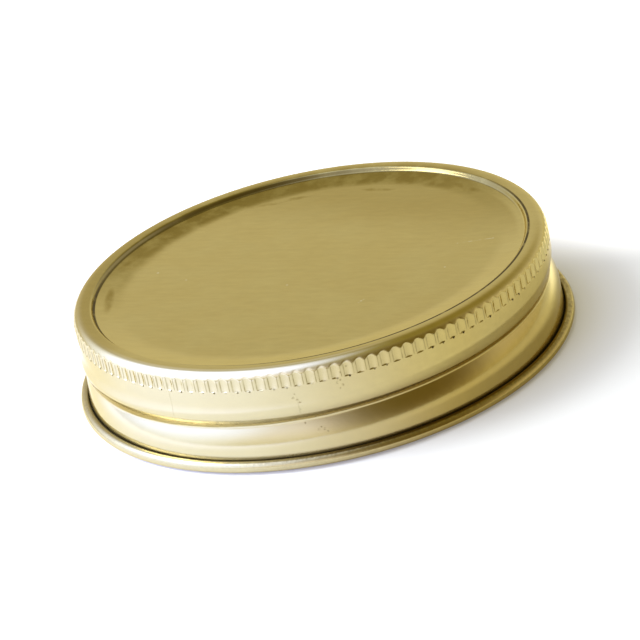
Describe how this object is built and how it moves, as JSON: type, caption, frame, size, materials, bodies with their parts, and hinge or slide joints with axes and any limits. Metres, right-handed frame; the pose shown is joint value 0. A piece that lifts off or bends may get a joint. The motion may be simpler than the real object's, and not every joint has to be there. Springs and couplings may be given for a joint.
{
  "type": "jar lid",
  "caption": "One-piece screw lid for a wide-mouth jar, rolled from gold-lacquered tinplate, with a knurled skirt, a right-hand thread, a curled edge and a sealing ring inside.",
  "frame": {"origin": "centre of the lid's axis at the foot of the curled edge, which is the plane it stands on", "axes": "+Z along the thread's axis, from the open edge to the closed panel; +X towards the right of the picture's view, square to the axis"},
  "size_m": [0.0736, 0.0736, 0.0146],
  "materials": {
    "lacquered_tinplate": "satin gold lacquer",
    "sealing_compound": "matt"
  },
  "bodies": {
    "root": {"shell": "lacquered_tinplate", "sealing_ring": "sealing_compound"}
  },
  "joints": []
}
